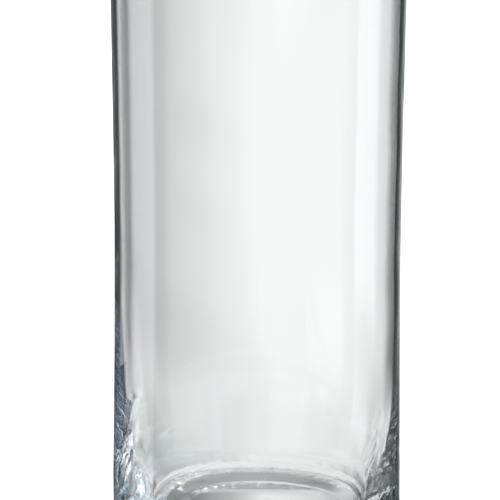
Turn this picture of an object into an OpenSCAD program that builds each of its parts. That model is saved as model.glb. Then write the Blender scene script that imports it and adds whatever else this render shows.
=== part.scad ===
// Clear glass cylinder vase, blown in one piece.
// Origin: centre of the foot, on the table. +Z runs up the axis to the rim.

/* [Outside] */
// Height from the table to the top of the rim
vase_h = 250; // [200:1:320]
// Outside diameter just above the rounded heel
foot_d = 100; // [80:1:150]
// Height of the waist, the narrowest place of the outside
waist_z = 118; // [90:1:150]
// How far the outside draws in at the waist, on each side
waist_in = 1.1; // [0:0.1:2]
// How far the rim stands out past the foot, on each side
rim_out = 0.8; // [0:0.1:2]

/* [Glass thickness] */
// Thickness of the wall above the heavy base
wall_t = 2; // [1.5:0.1:4]
// Height of the cavity floor above the table
floor_t = 9.5; // [8:0.5:24]
// Extra glass in the wall where it meets the cavity floor
gather_t = 7; // [1:0.5:12]
// Height over which that extra glass thins to about a third
gather_reach = 23.5; // [12:0.5:40]
// Radius of the corner between the cavity floor and the wall
corner_r = 3; // [1:0.5:8]

/* [Foot] */
// Radius of the heel between the outside and the bearing ring
heel_r = 5; // [2:0.5:8]
// Width of the flat bearing ring that the vase stands on
ring_w = 4; // [2:0.5:8]
// Rise of the hollow inside the bearing ring, at its centre
punt_h = 3.6; // [0.5:0.1:5]

/* [Hidden] */

// Steps of each curve of the profile
wall_steps = 12;
cavity_steps = 24;
step_growth = 1.6;
punt_steps = 10;
bend_steps = 8;
turn_fn = 96;

foot_r = foot_d / 2;
waist_r = foot_r - waist_in;
punt_r = foot_r - heel_r - ring_w;

// The rim is fire-polished to a half round as thick as the wall
rim_r = wall_t / 2;
rim_z = vase_h - rim_r;

// The cavity wall starts upright at the top of the floor corner
corner_top = floor_t + corner_r;

// How each curve of the section bends: 1 is straight, 2 is a parabola
waist_bend = 2;
flare_bend = 1.3;
gather_bend = 1.3;

// Outside radius: a curve in to the waist and a straighter one out to the rim
function outside_r(z) =
    z < waist_z
        ? waist_r + waist_in * pow((waist_z - z) / (waist_z - heel_r), waist_bend)
        : waist_r + (waist_in + rim_out) * pow((z - waist_z) / (rim_z - waist_z), flare_bend);

// Cavity radius: the wall thickens steadily towards the floor
function cavity_r(z) =
    outside_r(z) - wall_t
    - gather_t * exp(-pow((z - corner_top) / gather_reach, gather_bend));

function arc(centre, r, from, to) =
    [for (i = [0 : bend_steps])
        let (a = from + (to - from) * i / bend_steps)
        centre + r * [cos(a), sin(a)]];

function punt_curve() =
    [for (i = [0 : punt_steps])
        let (s = i / punt_steps)
        [punt_r * s, punt_h * (1 - s * s)]];

function outside_curve(from, to) =
    [for (i = [1 : wall_steps])
        let (z = from + (to - from) * i / wall_steps)
        [outside_r(z), z]];

// From the rim down, with shorter steps near the floor, where it bends more
function cavity_curve() =
    [for (i = [cavity_steps - 1 : -1 : 1])
        let (z = corner_top + (rim_z - corner_top) * pow(i / cavity_steps, step_growth))
        [cavity_r(z), z]];

function profile() =
    let (
        heel = [outside_r(heel_r) - heel_r, heel_r],
        rim = [outside_r(rim_z) - rim_r, rim_z],
        corner = [cavity_r(corner_top) - corner_r, corner_top]
    )
    concat(
        punt_curve(),
        arc(heel, heel_r, -90, 0),
        outside_curve(heel_r, waist_z),
        outside_curve(waist_z, rim_z),
        [for (p = arc(rim, rim_r, 0, 180)) if (p[1] > rim_z + 0.001) p],
        [[rim[0] - rim_r, rim_z]],
        cavity_curve(),
        arc(corner, corner_r, 0, -90),
        [[0, floor_t]]
    );

module vase() {
    color([0.80, 0.88, 0.86, 0.4])
        rotate_extrude($fn = turn_fn)
            polygon(profile());
}

vase();
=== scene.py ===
"""A clear glass cylinder vase on a pale studio table."""
import math

import bmesh
import bpy
from mathutils import Matrix, Vector, noise


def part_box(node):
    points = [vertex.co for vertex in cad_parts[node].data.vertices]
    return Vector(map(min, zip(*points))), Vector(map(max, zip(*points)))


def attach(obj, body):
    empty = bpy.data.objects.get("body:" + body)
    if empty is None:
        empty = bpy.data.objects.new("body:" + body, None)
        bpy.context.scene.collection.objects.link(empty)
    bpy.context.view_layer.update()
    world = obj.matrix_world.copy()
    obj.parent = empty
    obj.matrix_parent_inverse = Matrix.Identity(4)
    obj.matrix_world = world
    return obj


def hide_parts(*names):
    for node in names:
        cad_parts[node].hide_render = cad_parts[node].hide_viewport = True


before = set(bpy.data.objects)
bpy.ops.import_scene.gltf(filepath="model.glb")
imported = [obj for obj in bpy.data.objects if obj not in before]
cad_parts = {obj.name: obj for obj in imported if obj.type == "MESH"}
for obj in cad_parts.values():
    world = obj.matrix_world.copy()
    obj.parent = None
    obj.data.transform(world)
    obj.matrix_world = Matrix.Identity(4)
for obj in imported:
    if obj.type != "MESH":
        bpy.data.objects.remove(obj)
vase_low, vase_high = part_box("vase")
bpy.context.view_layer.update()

bl_info = {
    "name": "Glass Cylinder Vase",
    "version": (1, 0, 0),
    "blender": (4, 5, 0),
    "location": "View3D > Sidebar > Vase",
    "description": "Blows a clear glass cylinder vase and sets the studio round it",
    "category": "Object",
}

MM = 0.001
FULL_TURN = 2 * math.pi
VASE_HEIGHT = vase_high.z - vase_low.z
RIM_RADIUS = vase_high.x
REFRACTIVE_INDEX = 1.52
BOUNCES = 32


# ---------------------------------------------------------------- sizes and colours

class VaseShape(bpy.types.PropertyGroup):
    """Sizes of the blown vessel"""

    rim_out: bpy.props.FloatProperty(
        name="Rim flare", description="How far the rim stands out past the foot, on each side",
        default=0.8 * MM, min=0, unit="LENGTH")
    waist_height: bpy.props.FloatProperty(
        name="Waist height", description="Height of the narrowest place of the outside",
        default=118 * MM, min=0.05, unit="LENGTH")
    waist_in: bpy.props.FloatProperty(
        name="Waist draw", description="How far the outside draws in at the waist, on each side",
        default=1.1 * MM, min=0, unit="LENGTH")
    wall: bpy.props.FloatProperty(
        name="Wall", description="Thickness of the wall above the heavy base",
        default=2 * MM, min=0.001, unit="LENGTH")
    floor: bpy.props.FloatProperty(
        name="Floor", description="Height of the cavity floor above the table",
        default=9.5 * MM, min=0.005, unit="LENGTH")
    gather: bpy.props.FloatProperty(
        name="Gather", description="Extra glass in the wall where it meets the cavity floor",
        default=7 * MM, min=0, unit="LENGTH")
    gather_reach: bpy.props.FloatProperty(
        name="Gather reach", description="Height over which the extra glass thins to about a third",
        default=23.5 * MM, min=0.005, unit="LENGTH")
    gather_lean: bpy.props.FloatProperty(
        name="Gather lean", description="Share by which the extra glass reaches higher on the -X side",
        default=0.19, min=0, max=0.5)
    corner: bpy.props.FloatProperty(
        name="Floor corner", description="Radius between the cavity floor and the wall",
        default=3 * MM, min=0.001, unit="LENGTH")
    heel: bpy.props.FloatProperty(
        name="Heel", description="Radius of the heel between the outside and the bearing ring",
        default=5 * MM, min=0.001, unit="LENGTH")
    ring: bpy.props.FloatProperty(
        name="Bearing ring", description="Width of the ring that the vase stands on",
        default=4 * MM, min=0.001, unit="LENGTH")
    punt: bpy.props.FloatProperty(
        name="Punt", description="Rise of the hollow under the foot, at its centre",
        default=3.6 * MM, min=0, unit="LENGTH")
    ripple: bpy.props.FloatProperty(
        name="Ripple", description="Depth of the soft waves that blowing leaves in the wall",
        default=0.05 * MM, min=0, unit="LENGTH")
    wrinkle: bpy.props.FloatProperty(
        name="Chill wrinkle", description="Depth of the wrinkles where the cold mould met the base",
        default=0.30 * MM, min=0, unit="LENGTH")
    feather: bpy.props.FloatProperty(
        name="Feather", description="Depth of the slanting folds on the sides of the lower wall",
        default=0.5 * MM, min=0, unit="LENGTH")
    feather_top: bpy.props.FloatProperty(
        name="Feather top", description="Height above which there are no folds",
        default=66 * MM, min=0.02, unit="LENGTH")
    scar_foot: bpy.props.FloatProperty(
        name="Scar foot", description="Height of the slanting scar where it crosses the -X side",
        default=20 * MM, min=0, unit="LENGTH")
    scar_slope: bpy.props.FloatProperty(
        name="Scar slope", description="How far the scar climbs towards the -Y side",
        default=80 * MM, min=0, unit="LENGTH")
    turns: bpy.props.IntProperty(
        name="Turns", description="Number of steps that the outline is spun in",
        default=288, min=48)
    tint: bpy.props.FloatVectorProperty(
        name="Glass tint", description="What a thick piece of the glass does to white light",
        default=(0.83, 0.87, 0.885), min=0, max=1, size=3, subtype="COLOR")


class StudioSettings(bpy.types.PropertyGroup):
    """Camera and light of the studio"""

    elevation: bpy.props.FloatProperty(
        name="Elevation", description="Height of the camera above the horizon, as an angle",
        default=math.radians(20), subtype="ANGLE")
    roll: bpy.props.FloatProperty(
        name="Camera roll", description="Turn of the camera about its own line of sight",
        default=math.radians(0.22), subtype="ANGLE")
    distance: bpy.props.FloatProperty(
        name="Distance", description="From the camera to the middle of what it looks at",
        default=2.2, min=0.5, unit="LENGTH")
    view_width: bpy.props.FloatProperty(
        name="View width", description="Width of what the picture takes in at that distance",
        default=0.1708, min=0.02, unit="LENGTH")
    aim_height: bpy.props.FloatProperty(
        name="Aim height", description="Height of the middle of the picture on the vase",
        default=0.109, unit="LENGTH")
    aim_side: bpy.props.FloatProperty(
        name="Aim to the side", description="Offset of the middle of the picture from the axis",
        default=-0.0026, unit="LENGTH")
    floor_colour: bpy.props.FloatVectorProperty(
        name="Table", description="Colour of the pale table",
        default=(0.94, 0.94, 0.935), min=0, max=1, size=3, subtype="COLOR")


# ---------------------------------------------------------------- shape of the glass

def outside_radius(shape, z):
    """Radius of the outside at height z: a curve in to the waist, a straighter one out to the rim."""
    waist = RIM_RADIUS - shape.rim_out - shape.waist_in
    if z < shape.waist_height:
        down = (shape.waist_height - z) / (shape.waist_height - shape.heel)
        return waist + shape.waist_in * min(down, 1) ** 2
    up = (z - shape.waist_height) / (VASE_HEIGHT - shape.wall / 2 - shape.waist_height)
    return waist + (shape.waist_in + shape.rim_out) * min(up, 1) ** 1.3


def gathered_glass(shape, point):
    """Extra wall thickness at a point of the cavity, which grows steadily towards its floor."""
    lean = -point.x / max(math.hypot(point.x, point.y), MM)
    reach = shape.gather_reach * (1 + shape.gather_lean * lean)
    above = max(point.z - shape.floor - shape.corner, 0)
    return shape.gather * math.exp(-(above / reach) ** 1.3)


def round_corner(bm, vert, radius, segments):
    """Rounds one corner of an open outline."""
    bmesh.ops.bevel(bm, geom=[vert], offset=radius, offset_type="OFFSET", segments=segments,
                    profile=0.5, affect="VERTICES", material=-1)


def divide(bm, test, cuts):
    """Cuts the outline's long edges whose middle passes the test."""
    edges = [e for e in bm.edges if test((e.verts[0].co + e.verts[1].co) / 2) and e.calc_length() > 2 * MM]
    bmesh.ops.subdivide_edges(bm, edges=edges, cuts=cuts)


def draw_outline(shape):
    """Half section of a plain straight vessel, from the foot's centre round to the cavity's."""
    foot = RIM_RADIUS - shape.rim_out
    inner = foot - shape.wall
    base_top = shape.feather_top
    bm = bmesh.new()
    corners = [bm.verts.new(co) for co in (
        (0, 0, 0),
        (foot - shape.heel - shape.ring, 0, 0),
        (foot, 0, 0),
        (foot, 0, base_top),
        (foot, 0, VASE_HEIGHT),
        (inner, 0, VASE_HEIGHT),
        (inner, 0, base_top),
        (inner, 0, shape.floor),
        (0, 0, shape.floor))]
    for a, b in zip(corners, corners[1:]):
        bm.edges.new((a, b))
    round_corner(bm, corners[7], shape.corner, 8)
    round_corner(bm, corners[2], shape.heel, 10)
    for corner in corners[4:6]:
        round_corner(bm, corner, shape.wall * 0.499, 6)
    bmesh.ops.remove_doubles(bm, verts=bm.verts, dist=0.01 * MM)
    middle = foot - shape.wall / 2
    divide(bm, lambda p: p.x > middle and p.z < base_top, 63)
    divide(bm, lambda p: p.x > middle and p.z > base_top, 47)
    divide(bm, lambda p: foot * 0.9 < p.x < middle and p.z > base_top, 55)
    divide(bm, lambda p: foot * 0.9 < p.x < middle and shape.floor < p.z < base_top, 55)
    divide(bm, lambda p: p.x < middle and shape.floor * 0.5 < p.z < shape.floor * 1.01, 31)
    divide(bm, lambda p: p.x < middle and p.z < shape.floor * 0.5, 7)
    divide(bm, lambda p: p.x < foot * 0.8 and p.z < shape.floor * 0.5, 3)
    return bm


def is_inside(shape, point):
    """Whether a point of the glass is on the cavity, and not on the outside or the foot."""
    radius = math.hypot(point.x, point.y)
    return point.z > shape.floor * 0.9 and radius < outside_radius(shape, point.z) - shape.wall * 0.5


def shape_glass(bm, shape):
    """Gives the straight vessel its waist, its flare, its gathered glass and its punt."""
    foot = RIM_RADIUS - shape.rim_out
    punt_radius = foot - shape.heel - shape.ring
    floor_edge = foot - shape.wall - shape.corner
    for v in bm.verts:
        radius = math.hypot(v.co.x, v.co.y)
        if radius < 0.01 * MM:
            v.co.z += shape.punt * (v.co.z < shape.floor * 0.5)
            continue
        if v.co.z < shape.floor * 0.5 and radius <= punt_radius:
            v.co.z = shape.punt * (1 - (radius / punt_radius) ** 2)
            continue
        drift = outside_radius(shape, max(v.co.z, shape.heel)) - foot
        if v.co.z > shape.floor * 0.9 and radius < foot - shape.wall / 2:
            drift -= gathered_glass(shape, v.co)
            drift *= min(radius / floor_edge, 1)
        v.co.x *= 1 + drift / radius
        v.co.y *= 1 + drift / radius


def noise_at(point, seed, across, along):
    """Smooth noise from -1 to 1, stretched round and along the vase."""
    place = Vector((point.x / across, point.y / across, point.z / along + seed))
    return noise.noise(place)


def wrinkle_at(point, seed, size):
    """Creased noise from 0 to 1: the sharp-edged folds of glass that chilled as it was pressed."""
    fold = 1 - abs(noise_at(point, seed, size, size * 1.5))
    fine = 1 - abs(noise_at(point, seed + 5.7, size * 0.45, size * 0.6))
    return 0.7 * fold ** 2 + 0.3 * fine ** 2


def fade(value, start, stop):
    """1 up to start, then down to 0 at stop, smoothly."""
    share = min(max((value - start) / (stop - start), 0), 1)
    return 1 - share * share * (3 - 2 * share)


def ripple_wall(bm, shape):
    """Moves the inside a little, and the outside less, as blowing leaves them."""
    for v in bm.verts:
        radius = math.hypot(v.co.x, v.co.y)
        if radius < 1 * MM:
            continue
        inside = is_inside(shape, v.co)
        depth = shape.ripple * (1.0 if inside else 0.15)
        move = depth * noise_at(v.co, 7.3 if inside else 1.9, 0.030, 0.018)
        v.co.x += move * v.co.x / radius
        v.co.y += move * v.co.y / radius


def wrinkle_base(bm, shape):
    """Wrinkles the heel and the corner of the cavity floor, and fades the wrinkles up the wall."""
    bm.normal_update()
    foot = RIM_RADIUS - shape.rim_out
    moves = []
    for v in bm.verts:
        radius = math.hypot(v.co.x, v.co.y)
        if is_inside(shape, v.co):
            share = fade(v.co.z, shape.floor + shape.corner * 0.5, shape.floor + shape.corner * 2)
            share *= 0.4 - 0.4 * fade(radius, foot * 0.62, foot * 0.80)
            size = 7 * MM
        else:
            share = fade(v.co.z, shape.heel, shape.floor * 1.4)
            share *= 1 - fade(radius, foot * 0.74, foot * 0.84)
            size = 6 * MM
        if share > 0:
            moves.append((v, -v.normal * shape.wrinkle * share * wrinkle_at(v.co, 3.1, size)))
    for v, move in moves:
        v.co += move
        v.co.z = max(v.co.z, 0)


def feather_wall(bm, shape):
    """Folds on two sides of the lower wall, where the glass chilled first: a deep slanting scar on -X
    that runs up towards -Y, and shallow folds on +X."""
    for v in bm.verts:
        radius = math.hypot(v.co.x, v.co.y)
        inside = is_inside(shape, v.co)
        lowest = shape.floor + shape.corner if inside else shape.heel
        if not lowest < v.co.z < shape.feather_top or radius < RIM_RADIUS * 0.7:
            continue
        if v.co.x < 0:
            slope = shape.scar_slope * (0.7 if inside else 1.0)
            above_scar = v.co.z - shape.scar_foot + slope * v.co.y / radius
            share = fade(above_scar, -1 * MM, 7 * MM) * (1 - 0.5 * fade(above_scar, -20 * MM, -4 * MM))
            share *= 1 - fade(-v.co.x / radius, 0.88 if inside else 0.80, 0.94 if inside else 0.88)
        else:
            share = 0.35 * fade(v.co.z, shape.feather_top * 0.5, shape.feather_top * 0.75)
            share *= 1 - fade(v.co.x / radius, 0.86, 0.95)
        if inside:
            share *= 1.9 * (1 - fade(v.co.z, lowest, lowest + 4 * MM))
        if share <= 0:
            continue
        slant = Vector((v.co.y * 1.5 + v.co.z, v.co.x, (v.co.z - v.co.y) * 0.5))
        depth = shape.feather * share * wrinkle_at(slant, 4.9 if inside else 11.3, 8 * MM)
        v.co.x -= depth * v.co.x / radius
        v.co.y -= depth * v.co.y / radius


def blow_vase(shape):
    """The whole vessel: its outline is spun full round, then bent, rippled and wrinkled."""
    bm = draw_outline(shape)
    bmesh.ops.spin(bm, geom=bm.verts[:] + bm.edges[:], cent=(0, 0, 0), axis=(0, 0, 1), dvec=(0, 0, 0),
                   angle=FULL_TURN, steps=shape.turns, use_merge=True)
    bmesh.ops.remove_doubles(bm, verts=bm.verts, dist=0.002 * MM)
    shape_glass(bm, shape)
    bmesh.ops.recalc_face_normals(bm, faces=bm.faces)
    ripple_wall(bm, shape)
    wrinkle_base(bm, shape)
    feather_wall(bm, shape)
    for face in bm.faces:
        face.smooth = True
    mesh = bpy.data.meshes.new("glass_vase")
    bm.to_mesh(mesh)
    bm.free()
    piece = bpy.data.objects.new("glass_vase", mesh)
    bpy.context.scene.collection.objects.link(piece)
    return piece


# ---------------------------------------------------------------- glass

def clear_glass(shape):
    """Clear soda-lime glass, with faint waves, a worn foot and a tint that grows with depth."""
    material = bpy.data.materials.new("clear_glass")
    material.use_nodes = True
    nodes, links = material.node_tree.nodes, material.node_tree.links
    nodes.clear()
    place = nodes.new("ShaderNodeTexCoord")
    split = nodes.new("ShaderNodeSeparateXYZ")
    links.new(place.outputs["Object"], split.inputs[0])

    wear = nodes.new("ShaderNodeMapRange")
    wear.inputs["From Min"].default_value = 0.2 * MM
    wear.inputs["From Max"].default_value = 0.7 * MM
    wear.inputs["To Min"].default_value = 0.3
    wear.inputs["To Max"].default_value = 0.0
    links.new(split.outputs["Z"], wear.inputs["Value"])

    stretch = nodes.new("ShaderNodeMapping")
    stretch.inputs["Scale"].default_value = (60, 60, 22)
    links.new(place.outputs["Object"], stretch.inputs["Vector"])
    cords = nodes.new("ShaderNodeTexNoise")
    cords.inputs["Scale"].default_value = 1.0
    cords.inputs["Detail"].default_value = 2.0
    links.new(stretch.outputs["Vector"], cords.inputs["Vector"])
    bump = nodes.new("ShaderNodeBump")
    bump.inputs["Strength"].default_value = 0.05
    bump.inputs["Distance"].default_value = 0.1 * MM
    links.new(cords.outputs["Fac"], bump.inputs["Height"])

    glass = nodes.new("ShaderNodeBsdfPrincipled")
    glass.inputs["Base Color"].default_value = (1, 1, 1, 1)
    glass.inputs["Transmission Weight"].default_value = 1.0
    glass.inputs["IOR"].default_value = REFRACTIVE_INDEX
    links.new(wear.outputs["Result"], glass.inputs["Roughness"])
    links.new(bump.outputs["Normal"], glass.inputs["Normal"])

    depth = nodes.new("ShaderNodeVolumeAbsorption")
    depth.inputs["Color"].default_value = (*shape.tint, 1)
    depth.inputs["Density"].default_value = 20.0

    out = nodes.new("ShaderNodeOutputMaterial")
    links.new(glass.outputs["BSDF"], out.inputs["Surface"])
    links.new(depth.outputs["Volume"], out.inputs["Volume"])
    return material


# ---------------------------------------------------------------- studio

# Panels and dark gaps round the table, as (bearing, light, hue): bearing 0 is straight behind the vase,
# 90 on its right. Each ring is at its own height, and the glass shows a different one from each height.
GREEN_GREY = (0.945, 1.0, 0.98)
COOL = (0.97, 0.99, 1.025)
DEEP_GREEN = (0.75, 1.0, 0.85)
SLATE = (0.86, 1.0, 1.12)
STEEL_BLUE = (0.55, 1.0, 1.5)

LOW_RING = [
    (-136, 0.8), (-132, 1.5), (-104, 1.5), (-98, 0.5), (-84, 0.5), (-79, 0.08), (-57, 0.08), (-53, 0.6),
    (-45, 0.95), (-38, 1.0), (-33, 0.08, STEEL_BLUE), (-22, 0.08, STEEL_BLUE), (-17, 0.4, COOL),
    (-10, 0.5, GREEN_GREY), (-3, 0.8, GREEN_GREY), (0, 1.0), (3, 1.0), (9, 0.6, GREEN_GREY),
    (12, 0.45, GREEN_GREY), (18, 0.2, DEEP_GREEN), (26, 0.06, DEEP_GREEN), (31, 0.06), (36, 2.2), (52, 2.2),
    (60, 0.6), (100, 0.6),
]
MIDDLE_RING = [
    (-105, 0.9, COOL), (-98, 0.45, COOL), (-89, 0.4, COOL), (-87, 1.75, COOL), (-60, 1.75, COOL),
    (-54, 0.5, COOL), (-38, 0.95, COOL), (-35, 0.75, COOL), (-32, 0.06, SLATE), (-24, 0.06, SLATE),
    (-9, 0.12, GREEN_GREY), (-6, 0.35, GREEN_GREY), (-3, 0.55, GREEN_GREY), (-1, 0.8, GREEN_GREY), (0, 0.95),
    (3, 0.95), (7, 0.85), (9, 0.75, GREEN_GREY), (11, 0.45, GREEN_GREY), (16, 0.2, GREEN_GREY),
    (22, 0.05, DEEP_GREEN), (34, 0.05, DEEP_GREEN), (50, 0.25), (64, 0.55), (96, 0.75), (110, 0.9),
]
HIGH_RING = [
    (-172, 0.7), (-168, 1.5), (-140, 1.5), (-134, 0.6), (-124, 0.07), (-103, 0.07), (-98, 0.6), (-86, 0.95),
    (-82, 0.98), (-78, 0.07), (-56, 0.07), (-48, 0.4), (-40, 0.4), (-34, 0.07), (-12, 0.07), (-8, 0.6),
    (0, 0.92), (8, 0.98), (12, 0.07), (26, 0.07), (29, 2.4), (50, 2.4), (56, 0.25, STEEL_BLUE),
    (88, 0.25, STEEL_BLUE), (101, 0.1), (123, 0.1), (127, 0.6), (143, 0.98), (147, 0.1), (169, 0.1),
    (175, 0.7),
]
LEVEL_RING = [
    (-176, 0.42), (-168, 0.04, SLATE), (-36, 0.04, SLATE), (-22, 0.2), (-12, 0.42), (8, 0.42),
    (12, 3.0, COOL), (108, 3.0, COOL), (116, 0.07, STEEL_BLUE), (150, 0.07, STEEL_BLUE), (162, 0.42),
]
UPPER_RING = [
    (-176, 0.42), (-168, 0.04, SLATE), (-36, 0.04, SLATE), (-22, 0.2), (-12, 0.42), (8, 0.42),
    (12, 3.0, COOL), (48, 3.0, COOL), (55, 0.06, STEEL_BLUE), (150, 0.06, STEEL_BLUE), (162, 0.42),
]

# Elevations in degrees, start and stop, between which one ring gives way to the next one up
LOW_TO_MIDDLE = (-27, -21.6)
MIDDLE_TO_HIGH = (-17.3, -13.8)
HIGH_TO_LEVEL = (1, 4)
LEVEL_TO_UPPER = (9, 11)

# Below and above the rings the glass sees an even light
NADIR_LIGHT = 0.9
NADIR_TO_RINGS = (-44, -34)
CEILING_LIGHT = 0.42
RINGS_TO_CEILING = (45, 60)

# The lower rings are a little dimmer near their foot
FOOT_DIMMER = 0.88
DIMMER_TO_FULL = (-29, -20.5)

# What the camera and the table see all round
EVEN_LIGHT = 1.5

TABLE_RADIUS = 6.0

# The two ends of the dark card, and the heights of its foot and its top
CARD_LEFT = Vector((-0.125, 0.050, 0))
CARD_RIGHT = Vector((-0.055, 0.088, 0))
CARD_LOW = -0.030
CARD_HIGH = 0.036
CARD_COLOUR = (0.020, 0.045, 0.075, 1)


def add_math(nodes, links, operation, first, second=None):
    """A math node on one or two inputs, each a socket or a number."""
    node = nodes.new("ShaderNodeMath")
    node.operation = operation
    for slot, value in enumerate((first, second)):
        if value is None:
            continue
        if isinstance(value, (int, float)):
            node.inputs[slot].default_value = value
        else:
            links.new(value, node.inputs[slot])
    return node.outputs[0]


def ring_of_panels(nodes, links, turn, stops):
    """The light of one ring: turn runs from 0 at bearing -180 to 1 at bearing 180."""
    ring = nodes.new("ShaderNodeValToRGB")
    ramp = ring.color_ramp.elements
    ramp.remove(ramp[-1])
    for i, (bearing, light, *hue) in enumerate(stops):
        place = (bearing + 180) / 360
        stop = ramp[0] if i == 0 else ramp.new(place)
        stop.position = place
        colour = hue[0] if hue else (1, 1, 1)
        stop.color = (*(light * share for share in colour), 1)
    links.new(turn, ring.inputs["Fac"])
    return ring.outputs["Color"]


def share_above(nodes, links, rise, start, stop):
    """0 below the elevation start, 1 above the elevation stop, in degrees."""
    share = nodes.new("ShaderNodeMapRange")
    share.interpolation_type = "SMOOTHSTEP"
    share.inputs["From Min"].default_value = math.sin(math.radians(start))
    share.inputs["From Max"].default_value = math.sin(math.radians(stop))
    links.new(rise, share.inputs["Value"])
    return share.outputs["Result"]


def mix_light(nodes, links, share, lower, upper, blend="MIX"):
    """Two lights mixed by the share of the upper one. Each is a socket or a level."""
    mix = nodes.new("ShaderNodeMix")
    mix.data_type = "RGBA"
    mix.blend_type = blend
    if isinstance(share, float):
        mix.inputs["Factor"].default_value = share
    else:
        links.new(share, mix.inputs["Factor"])
    for name, light in (("A", lower), ("B", upper)):
        if isinstance(light, float):
            mix.inputs[name].default_value = (light, light, light, 1)
        else:
            links.new(light, mix.inputs[name])
    return mix.outputs["Result"]


def light_studio():
    """An even white room, with rings of bright panels and dark gaps that only the glass picks up."""
    world = bpy.data.worlds.new("studio")
    bpy.context.scene.world = world
    world.use_nodes = True
    nodes, links = world.node_tree.nodes, world.node_tree.links
    nodes.clear()
    way = nodes.new("ShaderNodeTexCoord")
    split = nodes.new("ShaderNodeSeparateXYZ")
    links.new(way.outputs["Generated"], split.inputs[0])
    rise = split.outputs["Z"]
    bearing = add_math(nodes, links, "ARCTAN2", split.outputs["X"], split.outputs["Y"])
    turn = add_math(nodes, links, "MULTIPLY_ADD", bearing, 1 / FULL_TURN)
    turn.node.inputs[2].default_value = 0.5

    low, middle, high, level, upper = (
        ring_of_panels(nodes, links, turn, stops)
        for stops in (LOW_RING, MIDDLE_RING, HIGH_RING, LEVEL_RING, UPPER_RING))
    def above(heights):
        return share_above(nodes, links, rise, *heights)

    rings = mix_light(nodes, links, above(LOW_TO_MIDDLE), low, middle)
    rings = mix_light(nodes, links, above(MIDDLE_TO_HIGH), rings, high)
    dimmer = mix_light(nodes, links, above(DIMMER_TO_FULL), FOOT_DIMMER, 1.0)
    rings = mix_light(nodes, links, 1.0, rings, dimmer, "MULTIPLY")
    rings = mix_light(nodes, links, above(HIGH_TO_LEVEL), rings, level)
    rings = mix_light(nodes, links, above(LEVEL_TO_UPPER), rings, upper)
    rings = mix_light(nodes, links, above(NADIR_TO_RINGS), NADIR_LIGHT, rings)
    rings = mix_light(nodes, links, above(RINGS_TO_CEILING), rings, CEILING_LIGHT)

    room = nodes.new("ShaderNodeBackground")
    links.new(rings, room.inputs["Color"])
    even = nodes.new("ShaderNodeBackground")
    even.inputs["Color"].default_value = (1, 1, 1, 1)
    even.inputs["Strength"].default_value = EVEN_LIGHT
    path = nodes.new("ShaderNodeLightPath")
    plain = add_math(nodes, links, "MAXIMUM", path.outputs["Is Camera Ray"], path.outputs["Is Diffuse Ray"])
    choose = nodes.new("ShaderNodeMixShader")
    links.new(plain, choose.inputs["Fac"])
    links.new(room.outputs[0], choose.inputs[1])
    links.new(even.outputs[0], choose.inputs[2])
    out = nodes.new("ShaderNodeOutputWorld")
    links.new(choose.outputs[0], out.inputs["Surface"])


def lay_table(settings):
    """A wide pale table top under the vase."""
    bm = bmesh.new()
    bmesh.ops.create_circle(bm, cap_ends=True, segments=96, radius=TABLE_RADIUS)
    mesh = bpy.data.meshes.new("table_top")
    bm.to_mesh(mesh)
    bm.free()
    table = bpy.data.objects.new("table_top", mesh)
    bpy.context.scene.collection.objects.link(table)
    material = bpy.data.materials.new("pale_table")
    material.use_nodes = True
    surface = material.node_tree.nodes["Principled BSDF"]
    surface.inputs["Base Color"].default_value = (*settings.floor_colour, 1)
    surface.inputs["Roughness"].default_value = 0.8
    surface.inputs["Specular IOR Level"].default_value = 0.0
    mesh.materials.append(material)
    table.visible_transmission = False
    table.visible_glossy = False


def stand_dark_card():
    """A low dark card on the left behind the vase, which only the reflections in the glass pick up."""
    bm = bmesh.new()
    foot = bm.edges.new([bm.verts.new((end.x, end.y, CARD_LOW)) for end in (CARD_LEFT, CARD_RIGHT)])
    raised = bmesh.ops.extrude_edge_only(bm, edges=[foot])["geom"]
    top = [v for v in raised if isinstance(v, bmesh.types.BMVert)]
    bmesh.ops.translate(bm, verts=top, vec=(0, 0, CARD_HIGH - CARD_LOW))
    mesh = bpy.data.meshes.new("dark_card")
    bm.to_mesh(mesh)
    bm.free()
    card = bpy.data.objects.new("dark_card", mesh)
    bpy.context.scene.collection.objects.link(card)
    material = bpy.data.materials.new("blue_card")
    material.use_nodes = True
    nodes, links = material.node_tree.nodes, material.node_tree.links
    nodes.clear()
    glow = nodes.new("ShaderNodeEmission")
    glow.inputs["Color"].default_value = CARD_COLOUR
    out = nodes.new("ShaderNodeOutputMaterial")
    links.new(glow.outputs[0], out.inputs["Surface"])
    mesh.materials.append(material)
    card.visible_camera = False
    card.visible_diffuse = False
    card.visible_transmission = False
    card.visible_shadow = False


def set_camera(settings):
    """A long lens, looking down a little on the lower part of the vase."""
    target = Vector((settings.aim_side, 0, settings.aim_height))
    back = Vector((0, -math.cos(settings.elevation), math.sin(settings.elevation)))
    data = bpy.data.cameras.new("studio_camera")
    camera = bpy.data.objects.new("studio_camera", data)
    bpy.context.scene.collection.objects.link(camera)
    data.sensor_width = 36
    data.lens = data.sensor_width * settings.distance / settings.view_width
    data.clip_end = 100
    turn = (-back).to_track_quat("-Z", "Y").to_matrix().to_4x4()
    roll = Matrix.Rotation(settings.roll, 4, "Z")
    camera.matrix_world = Matrix.Translation(target + back * settings.distance) @ turn @ roll
    bpy.context.scene.camera = camera


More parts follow.
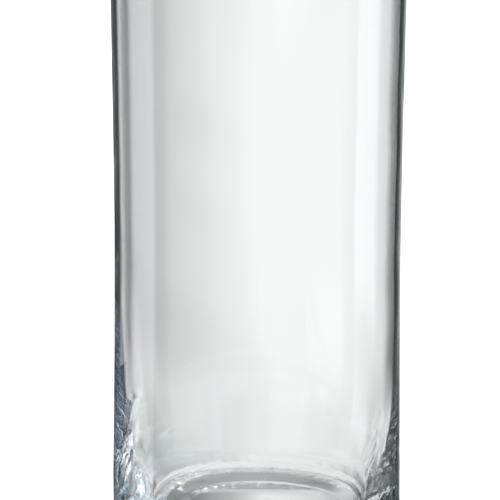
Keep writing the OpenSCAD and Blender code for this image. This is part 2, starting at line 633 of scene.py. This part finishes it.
# ---------------------------------------------------------------- operators and panel

class VASE_OT_blow(bpy.types.Operator):
    """Blow the glass vase in one piece"""

    bl_idname = "vase.blow"
    bl_label = "Blow Vase"

    def execute(self, context):
        shape = context.scene.vase_shape
        vase = blow_vase(shape)
        vase.data.materials.append(clear_glass(shape))
        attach(vase, "root")
        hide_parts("vase")
        return {"FINISHED"}


class VASE_OT_set_studio(bpy.types.Operator):
    """Set the table, the light and the camera"""

    bl_idname = "vase.set_studio"
    bl_label = "Set Studio"

    def execute(self, context):
        settings = context.scene.vase_studio
        light_studio()
        lay_table(settings)
        stand_dark_card()
        set_camera(settings)
        context.scene.view_settings.view_transform = "Standard"
        # Light crosses the thick base many times before it leaves the glass
        context.scene.cycles.max_bounces = BOUNCES
        context.scene.cycles.transmission_bounces = BOUNCES
        context.scene.cycles.glossy_bounces = BOUNCES
        return {"FINISHED"}


class VASE_PT_panel(bpy.types.Panel):
    """Vase tools in the sidebar"""

    bl_idname = "VASE_PT_panel"
    bl_label = "Glass Vase"
    bl_space_type = "VIEW_3D"
    bl_region_type = "UI"
    bl_category = "Vase"

    def draw(self, context):
        for name in ("vase_shape", "vase_studio"):
            group = getattr(context.scene, name)
            for key in group.bl_rna.properties.keys():
                if key not in ("rna_type", "name"):
                    self.layout.prop(group, key)
        for operator in (VASE_OT_blow, VASE_OT_set_studio):
            self.layout.operator(operator.bl_idname)


CLASSES = (VaseShape, StudioSettings, VASE_OT_blow, VASE_OT_set_studio, VASE_PT_panel)


def register():
    for cls in CLASSES:
        bpy.utils.register_class(cls)
    bpy.types.Scene.vase_shape = bpy.props.PointerProperty(type=VaseShape)
    bpy.types.Scene.vase_studio = bpy.props.PointerProperty(type=StudioSettings)


def unregister():
    del bpy.types.Scene.vase_studio
    del bpy.types.Scene.vase_shape
    for cls in reversed(CLASSES):
        bpy.utils.unregister_class(cls)


def main():
    register()
    bpy.ops.vase.blow()
    bpy.ops.vase.set_studio()


if __name__ == "__main__":
    main()
